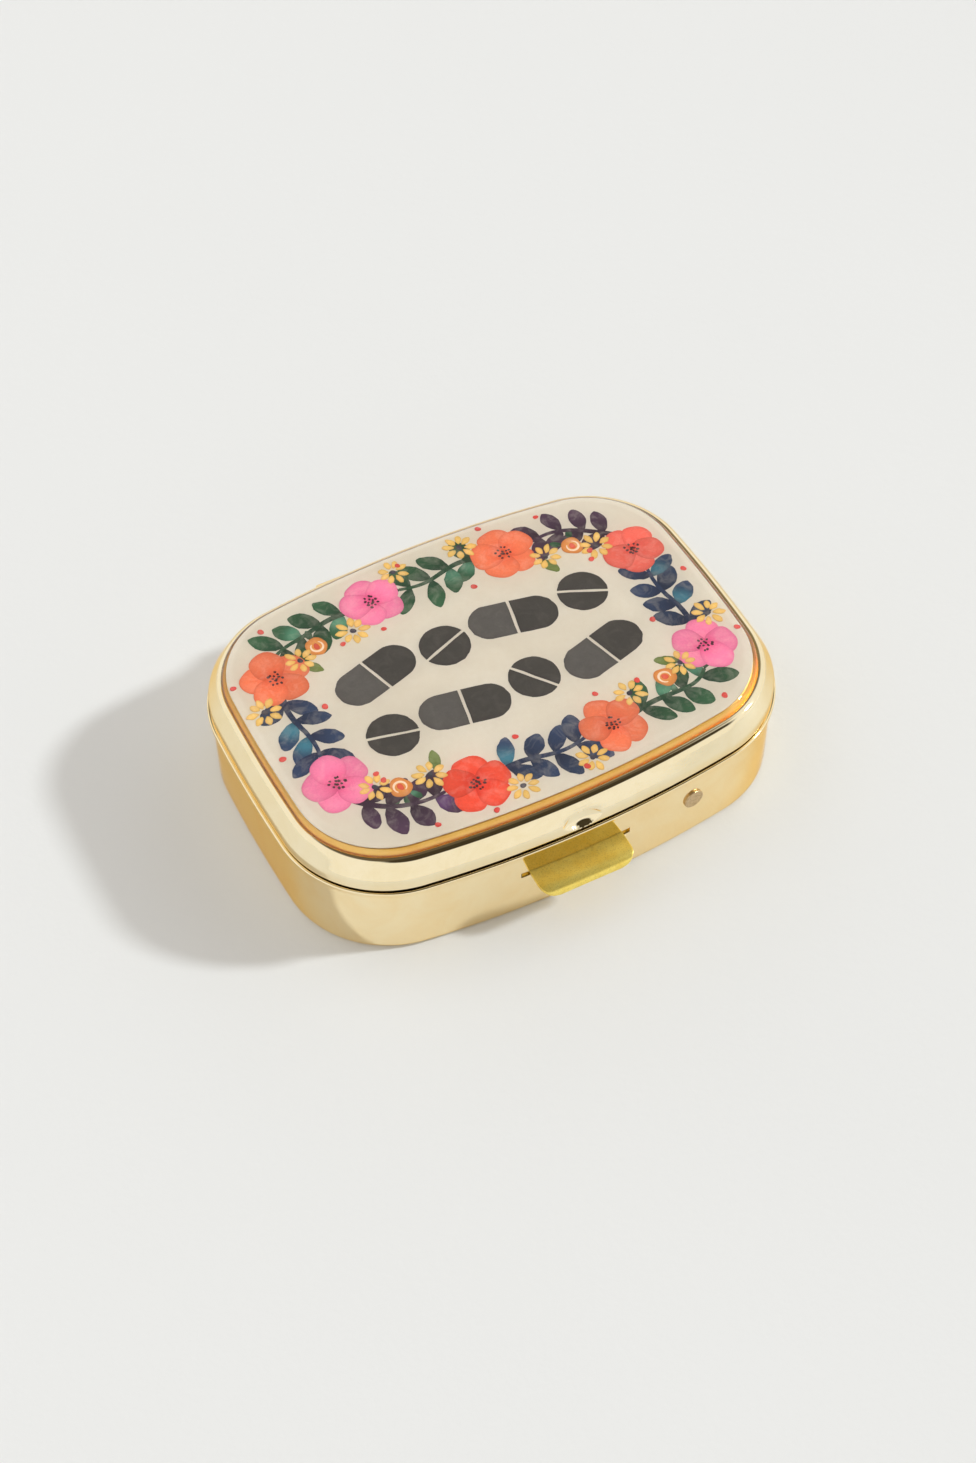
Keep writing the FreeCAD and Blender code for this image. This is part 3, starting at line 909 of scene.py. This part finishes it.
def rosebud(centre, size, angle):
    """Orange bud with a pale swirl and three small leaves."""
    light, deep = BUD
    for lean in (-0.62, 0.0, 0.62):
        foot = centre + turn((size * 0.4, 0), angle + lean)
        leaf(foot, angle + lean, size * 0.62, size * 0.3, GREEN)
    contour = petal_contour(centre, angle, size, size * 0.92, random.uniform(0, 6))
    buds.blob(centre, contour, BUD_LEVEL, lambda p, t: light.lerp(deep, t**2 * 0.7))
    times = [k / 23 for k in range(24)]
    swirl = [centre + turn((size * (0.24 + 0.05 * t), 0), angle + 0.6 + t * 5.0) for t in times]
    widths = [size * (0.04 + 0.07 * math.sin(math.pi * t)) for t in times]
    buds.ribbon(swirl, widths, SWIRL_LEVEL, lambda t: BUD_SWIRL)
    dot(buds, centre, size * 0.13, BUD_HEART, BUD_HEART_LEVEL, 1.35, angle)


# Closed path that the border follows, walked at even steps.
BORDER_INSET = 7.4
WALK_STEPS = 3600
walk = [column(a - math.pi / 2, BORDER_INSET) for a in around(WALK_STEPS)]
lengths = [0.0]
for (a, _), (b, _) in zip(walk, walk[1:] + walk[:1]):
    lengths.append(lengths[-1] + (b - a).length)
BORDER_LENGTH = lengths[-1]


def border(distance):
    """Point and outward normal on the border path."""
    return walk[bisect.bisect_right(lengths, distance % BORDER_LENGTH) - 1]


def beside(distance, lift):
    """Point that lies a lift outwards from the border path."""
    point, normal = border(distance)
    return point + normal * lift


FLOWER_COUNT = 8
FLOWER_PITCH = BORDER_LENGTH / FLOWER_COUNT
FLOWER_START = 7.2
FLOWER_COLOURS = [CORAL, PINK, SALMON, CORAL, PINK, CORAL, PINK, RED]
SPRAY_COLOURS = [GREEN, BLUE, PURPLE, GREEN, GREEN, BLUE, PURPLE, BLUE]
SPRAY_STEPS = 24
LEAF_PAIRS = 4
BUD_SIZE = 2.5


def spray(start, end, colours):
    """Stem along the border with pairs of leaves and one at its tip."""
    sway = random.choice((-1, 1)) * random.uniform(0.25, 0.5)
    times = [k / SPRAY_STEPS for k in range(SPRAY_STEPS + 1)]
    stem = [beside(start + (end - start) * t, sway * math.sin(math.pi * 2 * t)) for t in times]
    widths = [0.72 - 0.34 * t for t in times]
    leaves.ribbon(stem, widths, STEM_LEVEL, lambda t: colours[1].lerp(colours[0], t * 0.6))
    for k in range(LEAF_PAIRS):
        index = min(SPRAY_STEPS - 1, int((k + 0.55) / LEAF_PAIRS * SPRAY_STEPS))
        forward = heading(stem[index + 1] - stem[index])
        for side in (-1, 1):
            angle = forward + side * random.uniform(0.85, 1.15)
            length = random.uniform(3.2, 4.1)
            leaf(stem[index] + turn((0.1, 0), angle), angle, length, random.uniform(1.75, 2.2), colours)
    leaf(stem[-1], heading(stem[-1] - stem[-2]), 1.6, 1.0, colours)


for k in range(FLOWER_COUNT):
    at = FLOWER_START + FLOWER_PITCH * k
    side = 1 if k % 2 else -1
    centre = beside(at, random.uniform(-0.35, 0.35))
    flower(centre, random.uniform(6.6, 7.3), FLOWER_COLOURS[k], random.uniform(0, 6))
    spray(at + 2.4, at + FLOWER_PITCH - 3.4, SPRAY_COLOURS[k])
    for offset, lift in ((3.9, 2.5 * side), (-3.9, -2.6 * side)):
        if offset > 0 or k % 4 != 2:
            daisy(beside(at + offset, lift), random.uniform(3.5, 4.0), random.uniform(0, 6))
    if k % 2 == 0:
        along = at + 0.53 * FLOWER_PITCH
        angle = heading(border(along)[1]) + random.uniform(-0.6, 0.6)
        rosebud(beside(along, 2.2 * side), BUD_SIZE, angle)
    else:
        along = at - 3.2
        angle = heading(-border(along)[1]) + random.uniform(-0.5, 0.5)
        leaf(beside(along, -2.6 * side), angle, 2.9, 1.25, OLIVE)
    for offset, lift in ((5.6, -3.5), (-5.2, 3.4), (0.5, 4.2 * side)):
        centre = beside(at + offset + random.uniform(-0.6, 0.6), lift + random.uniform(-0.3, 0.3))
        dot(berries, centre, random.uniform(0.28, 0.36), BERRY, BERRY_LEVEL)


def half_shape(half_length, radius, gap, steps=24):
    """Right half of a capsule or round tablet that is split down its middle, as a contour."""
    straight = half_length - radius
    edge = radius if straight else math.sqrt(radius**2 - gap**2)
    points = [(gap, edge * k / 2) for k in range(-2, 3)]
    for k in range(steps + 1):
        a = math.pi / 2 - math.pi * k / steps
        if straight or radius * math.cos(a) > gap:
            points.append((straight + radius * math.cos(a), radius * math.sin(a)))
    if straight:
        points.insert(5, (straight / 2, radius))
        points.append((straight / 2, -radius))
    return points


def medicine(centre, half_length, radius, angle, shades):
    """A two-part capsule or a scored round tablet, as two solid halves with a gap between."""
    for side, shade in zip((0, math.pi), shades):
        contour = []
        for p in half_shape(half_length, radius, SCORE_HALF):
            q = centre + turn(turn(p, side), angle)
            contour.append(q + Vector((wobble(q, 0.08), wobble(q, 0.08, 1.6, 5))))
        middle = centre + turn(turn((half_length * 0.5, 0), side), angle)

        def paint(p, t):
            return shift(shade, wobble(p, 0.10, 1.3, 3.0))

        motif.blob(middle, contour, MOTIF_LEVEL, paint, rings=6)


SCORE_HALF = 0.16
ROW_TILT = 0.03
CAPSULE = (4.9, 2.35)
TABLET = (2.75, 2.75)
for x, y, (half_length, radius), angle in (
    (-11.3, 4.0, CAPSULE, 0.26),
    (-3.1, 4.2, TABLET, 1.9),
    (5.1, 4.3, CAPSULE, -0.24),
    (13.4, 4.1, TABLET, 1.1),
    (-13.3, -4.0, TABLET, 1.3),
    (-5.1, -4.2, CAPSULE, -0.22),
    (3.1, -4.0, TABLET, 0.6),
    (11.3, -4.1, CAPSULE, 0.24),
):
    shades = (CHARCOAL, ASH) if half_length > radius else (CHARCOAL, CHARCOAL)
    medicine(Vector((x, y)), half_length, radius, angle + ROW_TILT, shades)

# Thin lip round the card's cut edge, so that its pale face runs out over the panel's slope.
card_lip = Ink("card_lip")
lip_path = [column(angle, CARD_INSET - HAIR)[0] for angle in ring()]
card_lip.ribbon(lip_path, [0.24] * len(lip_path), LIP_LEVEL, lambda t: (0.7, 0.63, 0.53), closed=True)
card_lip.piece(PAPER)

for ink in (leaves, flowers, daisies, buds, berries, motif):
    ink.piece(FLAT_INK if ink is motif else INK)

# ---- latch leaf, tab, hook, rivet

LEAF = 0.35
LEAF_FRONT = BASE_INSET + SHEET + 0.1
LEAF_MID = LEAF_FRONT + LEAF * 0.6
LEAF_LOW = 4.3
LEAF_HIGH = 7.8
LEAF_LEFT = -7.2
LEAF_RIGHT = 15.9
LEAF_CORNER = 0.8
TAB_HALF = 5.4
TAB_REACH = 3.65
TAB_TOP = TAB_Z + 0.25
TAB_SHEET = 0.38
TAB_CORNER = 1.8
TAB_ROWS = 24
TAB_COLUMNS = 40
CURL_LENGTH = 1.5
CURL_IN = 0.44
CURL_DOWN = 0.62
HOOK_X = -0.8
HOOK_HALF = 2.0
HOOK_COLUMNS = 8
HOOK_SHEET = 0.3
# How far behind the strip's front, and how high, from the hook's foot to its top.
HOOK_SECTION = [
    (0.12, LEAF_HIGH - 0.5), (0.25, LEAF_HIGH - 0.2), (0.85, LEAF_HIGH), (0.95, LEAF_HIGH + 0.3),
    (0.95, 9.0), (0.95, 10.5), (0.95, 11.8), (0.92, 12.08), (0.86, 12.22), (0.80, 12.3),
]


def across(middle, half, columns):
    return [middle + half * (2 * j / columns - 1) for j in range(columns + 1)]


def rounding(radius, distance):
    """How much a rounded corner takes off at this distance from the end."""
    return radius - math.sqrt(max(radius**2 - max(radius - distance, 0.0) ** 2, 0.0))


def skin(grid, thickness, down):
    """Closed sheet from a grid of points, thickened along a direction."""
    bm = bmesh.new()
    lifts = (down * 0.0, down * thickness)
    front, back = ([[bm.verts.new(p + lift) for p in row] for row in grid] for lift in lifts)
    for sheet in (front, back):
        for a, b in zip(sheet, sheet[1:]):
            for j in range(len(a) - 1):
                bm.faces.new((a[j], a[j + 1], b[j + 1], b[j]))
    near, far = (
        [*sheet[0], *(row[-1] for row in sheet[1:]), *sheet[-1][-2::-1], *(row[0] for row in sheet[-2:0:-1])]
        for sheet in (front, back)
    )
    for i in range(len(near)):
        j = (i + 1) % len(near)
        bm.faces.new((near[i], near[j], far[j], far[i]))
    return bm


def wall_point(x, inset, z):
    """Point on the front at an inset, and the outward normal there."""
    point, normal = column(front_angle(x), inset)
    return Vector((*point, z)), Vector((*normal, 0))


def strip_section(x):
    """Cross-section of the spring strip behind the wall, lower near its rounded ends."""
    cut = rounding(LEAF_CORNER, min(x - LEAF_LEFT, LEAF_RIGHT - x))
    low, high, back = LEAF_LOW + cut, LEAF_HIGH - cut, LEAF_FRONT + LEAF
    corners = ((LEAF_FRONT, low), (LEAF_FRONT, high), (back, high), (back, low))
    return [wall_point(x, inset, z)[0] for inset, z in corners]


def tab_grid():
    """Top of the finger tab: convex across, rolled down at its outer edge, corners rounded."""

    def wall_y(x):
        return wall_point(x, LEAF_MID, 0)[0].y

    grid = [[Vector((x, wall_y(x), TAB_TOP)) for x in across(TAB_X, TAB_HALF, TAB_COLUMNS)]]
    for i in range(TAB_ROWS + 1):
        t = i / TAB_ROWS
        out = t * TAB_REACH
        half = TAB_HALF - rounding(TAB_CORNER, TAB_REACH - out)
        curl = max(0.0, out - (TAB_REACH - CURL_LENGTH)) / CURL_LENGTH
        row = []
        for x in across(TAB_X, half, TAB_COLUMNS):
            drop = (0.10 * ((x - TAB_X) / half) ** 2 + 0.06) * t + CURL_DOWN * curl**2.2
            row.append(Vector((x, wall_y(x) - 0.8 - out + CURL_IN * curl**2, TAB_TOP - drop)))
        grid.append(row)
    return grid


def hook_grid():
    """Upstand that leans away from the wall and folds forward at its top."""
    front = LEAF_FRONT - HALF_DEPTH
    xs = across(HOOK_X, HOOK_HALF, HOOK_COLUMNS)
    return [[Vector((x, front + y, z)) for x in xs] for y, z in HOOK_SECTION]


def merged(name, parts, bevel):
    """One piece from several closed meshes, with softened edges."""
    total = bmesh.new()
    for part in parts:
        scratch = bpy.data.meshes.new("scratch")
        bmesh.ops.recalc_face_normals(part, faces=part.faces)
        soften(part, 0.9, bevel, 0.6)
        part.to_mesh(scratch)
        part.free()
        total.from_mesh(scratch)
        bpy.data.meshes.remove(scratch)
    return finish_mesh(name, total)


strip = loft([strip_section(x) for x in spread(LEAF_LEFT, LEAF_RIGHT, 0.5)])
tab = skin(tab_grid(), TAB_SHEET, -UP)
hook = skin(hook_grid(), HOOK_SHEET, Vector((0, 1, 0)))
latch = merged("latch_leaf", [strip, tab, hook], 0.07)
latch.data.materials.append(BRASS)
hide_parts("latch_pad", "latch_arm")
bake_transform(latch)


def lathe(profile, foot, axis, steps=48):
    """Solid of revolution from (radius, height) points, with a pole at each flat end."""
    side = axis.cross(UP).normalized()
    up = axis.cross(side)
    arms = [side * math.cos(a) + up * math.sin(a) for a in around(steps)]
    rows = [[foot + axis * height + arm * radius for arm in arms] for radius, height in profile]
    bm = loft(rows)
    bmesh.ops.poke(bm, faces=[face for face in bm.faces if len(face.verts) == steps])
    return bm


RIVET_X = 13.15
RIVET_Z = 5.95
RIVET_PROFILE = [
    (0.35, 0.20), (0.70, 0.21), (0.90, 0.24), (1.00, 0.26), (1.08, 0.25), (1.13, 0.21), (1.15, 0.15),
    (1.15, 0.05), (1.13, 0.0), (0.62, -0.02), (0.6, -0.4), (0.6, -0.9), (0.9, -0.92), (0.95, -0.98),
    (0.93, -1.08), (0.80, -1.14), (0.4, -1.15),
]
rivet = finish_mesh("rivet_button", lathe(RIVET_PROFILE, *wall_point(RIVET_X, BASE_INSET, RIVET_Z)))
dress(rivet, RIVET, "base", "pin_steel", "latch_rivet")


# ---- hinge leaves

HINGE_Y = 21.75
HINGE_Z = 9.6
KNUCKLE_RADIUS = 0.7
KNUCKLE_COUNT = 5
KNUCKLE_GAP = 0.05
KNUCKLE_SOFT = 0.09
KNUCKLE_STEPS = 44
HINGE_LENGTH = 20.0
HINGE_LEAF = 0.4


def knuckle(left, right, bore):
    """Tube on the hinge axis with softened ends."""
    radius, soft = KNUCKLE_RADIUS, KNUCKLE_SOFT
    half = [(bore, 0.0), (radius - soft, 0.0), (radius - soft * 0.3, soft * 0.3), (radius, soft)]
    section = [(r, left + run) for r, run in half] + [(r, right - run) for r, run in reversed(half)]
    rows = []
    for a in around(KNUCKLE_STEPS):
        rows.append([(x, HINGE_Y + r * math.cos(a), HINGE_Z + r * math.sin(a)) for r, x in section])
    return loft(rows, looped=True)


def hinge_half(name, node, first, wall_inset, plate_z, web_z, bore, material, body):
    """Leaf on a back wall, with every second knuckle and the webs that carry them."""

    def slab(left, right, z_range, outer_y=None):
        low, high = z_range
        sections = []
        for x in spread(left, right, 0.8):
            inner = column(back_angle(x), wall_inset + 0.01)[0].y
            outer = outer_y or column(back_angle(x), wall_inset - HINGE_LEAF)[0].y
            sections.append([(x, inner, low), (x, outer, low), (x, outer, high), (x, inner, high)])
        return loft(sections)

    half = HINGE_LENGTH / 2
    pitch = HINGE_LENGTH / KNUCKLE_COUNT
    parts = [slab(-half, half, plate_z)]
    for index in range(first, KNUCKLE_COUNT, 2):
        left = -half + index * pitch + (KNUCKLE_GAP / 2 if index else 0)
        right = left + pitch - KNUCKLE_GAP
        parts += [slab(left, right, [HINGE_Z + z for z in web_z], HINGE_Y), knuckle(left, right, bore)]
    dress(merged(name, parts, 0.05), material, body, "gold_plate", node)


BASE_WEB, LID_WEB = (-0.69, -0.39), (0.41, 0.69)
hinge_half("hinge_base_leaf", "hinge_leaf_base", 0, BASE_INSET, (5.4, 9.3), BASE_WEB, 0.35, GOLD, "base")
hinge_half("hinge_lid_leaf", "hinge_leaf_lid", 1, LID_INSET, (10.1, 11.45), LID_WEB, 0.4, LID_GOLD, "lid")

# ---- parts taken from the CAD


def softened(name, node, material, body, slot):
    """A CAD node's own shape with its hard edges rounded off."""
    bm = bmesh.new()
    bm.from_mesh(frame["nodes"][node].data)
    bm.transform(Matrix.Scale(1 / MM, 4))
    bmesh.ops.remove_doubles(bm, verts=bm.verts, dist=0.002)
    bmesh.ops.dissolve_limit(bm, angle_limit=math.radians(1), verts=bm.verts, edges=bm.edges)
    soften(bm, math.radians(30), 0.12, 0.5)
    dress(finish_mesh(name, bm), material, body, slot, node)


softened("tray_moulding", "insert_tray", PLASTIC, "base", "tray_plastic")
softened("mirror_plate", "lid_mirror", MIRROR, "lid", "mirror_glass")
repaint("mirror_foam", FOAM)
repaint("hinge_pin", PIN)

# ---- stage, light, camera


def floor(half=1.5):
    """Plain pale floor with the faint unevenness of matt board."""
    mesh = bpy.data.meshes.new("studio_floor")
    corners = [(x * half, y * half, 0) for x, y in ((-1, -1), (1, -1), (1, 1), (-1, 1))]
    mesh.from_pydata(corners, [], [range(4)])
    shades = ((9, 3, 0.5), 0.35, 0.7, (0.81, 0.81, 0.81), (0.80, 0.80, 0.80))
    mesh.materials.append(mottled("studio_floor", 0.0, shades, 0.75, ((900, 4, 0.6), 30)))
    plane = link("studio_floor", mesh)


def lamp(name, kind, energy, colour, direction, **settings):
    """Light that shines along a direction."""
    data = bpy.data.lights.new(name, kind)
    data.energy = energy
    data.color = colour
    for key, value in settings.items():
        setattr(data, key, value)
    holder = link(name, data)
    holder.rotation_euler = direction.to_track_quat("-Z", "Y").to_euler()
    return holder


def world():
    """Room round the table: pale walls, and dark patches overhead, in front and behind."""
    g = Graph("studio_room", bpy.data.worlds, "Background", "Generated")
    bpy.context.scene.world = g.owner
    colour = ROOM_WALLS
    for direction, low, high, patch in ROOM_PATCHES:
        dot_product = g.add("ShaderNodeVectorMath", operation="DOT_PRODUCT")
        dot_product.inputs[1].default_value = Vector(direction).normalized()
        g.feed(dot_product.inputs[0], g.place)
        towards = g.remap(dot_product.outputs["Value"], low, high, shape="SMOOTHSTEP")
        colour = g.mix(towards, colour, patch)
    g.set(Color=colour, Strength=ROOM_STRENGTH)


SUN_FROM = Vector((1.336, -0.503, 1.0))
FILL_PLACE = Vector((-0.2, 0.2, 1.2))
ROOM_STRENGTH = 1.04
ROOM_WALLS = (0.91, 0.90, 0.875)
# Direction of each dark patch, cosines of the angles where it starts and is full, and its colour.
ROOM_PATCHES = (
    ((0, 0, 1), 0.84, 0.92, (0.12, 0.10, 0.07)),
    ((0.16, -0.60, 0.78), 0.85, 0.92, (0.05, 0.04, 0.025)),
    ((0.29, 0.62, 0.73), 0.93, 0.97, (0.22, 0.19, 0.13)),
)

floor()
lamp("sun", "SUN", 1.8, (0.93, 0.98, 1.0), -SUN_FROM, angle=math.radians(5.5))
fill = lamp("overhead_fill", "AREA", 3.0, (1.0, 0.98, 0.94), -FILL_PLACE, shape="DISK", size=1.6)
fill.location = FILL_PLACE
fill.visible_glossy = False
world()

CAMERA_AZIMUTH = math.radians(-27.59)
CAMERA_ELEVATION = math.radians(50.96)
CAMERA_ROLL = math.radians(-0.54)
CAMERA_DISTANCE = 261.74
CAMERA_OFFSET = (-0.409, -3.17)
CAMERA_TARGET_Z = 8.0
LENS = 60.447
SENSOR = 36.0


def camera():
    """Camera that looks down at the box from the left of its front."""
    a, e = CAMERA_AZIMUTH, CAMERA_ELEVATION
    back = Vector((math.sin(a) * math.cos(e), -math.cos(a) * math.cos(e), math.sin(e)))
    level = UP.cross(back).normalized()
    top = back.cross(level)
    right = math.cos(CAMERA_ROLL) * level + math.sin(CAMERA_ROLL) * top
    up = -math.sin(CAMERA_ROLL) * level + math.cos(CAMERA_ROLL) * top
    place = CAMERA_DISTANCE * back + CAMERA_OFFSET[0] * right + CAMERA_OFFSET[1] * up
    place += CAMERA_TARGET_Z * UP
    data = bpy.data.cameras.new("camera")
    data.sensor_width = SENSOR
    data.lens = LENS
    data.clip_start = 0.01
    data.clip_end = 20
    eye = link("camera", data)
    eye.matrix_world = Matrix.Translation(place * MM) @ Matrix((right, up, back)).transposed().to_4x4()
    bpy.context.scene.camera = eye


camera()
bpy.context.scene.view_settings.view_transform = "Standard"
bpy.context.scene.view_settings.look = "None"
